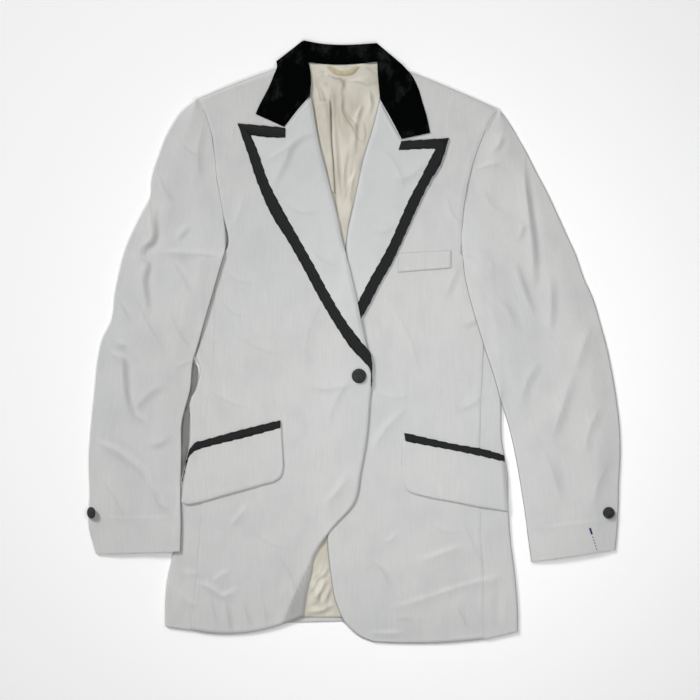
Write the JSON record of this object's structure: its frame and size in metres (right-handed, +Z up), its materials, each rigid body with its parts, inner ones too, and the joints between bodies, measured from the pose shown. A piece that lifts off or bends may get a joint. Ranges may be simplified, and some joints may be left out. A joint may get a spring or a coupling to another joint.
{
  "type": "tuxedo jacket",
  "caption": "Long off-white linen dinner jacket laid flat on its back, with a black velvet collar, braid-edged peak lapels and braided flap pockets.",
  "frame": {"origin": "middle of the jacket's box, on the surface that it lies on", "axes": "+Z up out of the closed fronts, +Y along the back to the collar, +X to the right as seen from above"},
  "size_m": [0.734, 0.8303, 0.0149],
  "materials": {
    "cloth": "off-white linen with slubs, matt",
    "lining": "cream satin, soft sheen",
    "velvet": "black velvet pile",
    "braid": "charcoal ribbed braid, matt",
    "button": "dark cloth-covered button",
    "tape": "pale cream tape"
  },
  "bodies": {
    "root": {"back_left": "cloth", "back_right": "cloth", "back_lining": "lining", "side_left": "cloth", "side_right": "cloth", "front_left": "cloth", "front_right": "cloth", "lining_fold": "lining", "lapel_left": "cloth", "lapel_right": "cloth", "lapel_braid_left": "braid", "lapel_braid_right": "braid", "collar_back": "velvet", "collar_left": "velvet", "collar_right": "velvet", "breast_welt": "cloth", "pocket_flap_left": "cloth", "pocket_flap_right": "cloth", "pocket_braid_left": "braid", "pocket_braid_right": "braid", "sleeve_left_under": "cloth", "sleeve_left_top": "cloth", "sleeve_right_under": "cloth", "sleeve_right_top": "cloth", "front_button": "button", "cuff_button_left": "button", "cuff_button_right": "button", "hanger_loop": "tape"}
  },
  "joints": []
}
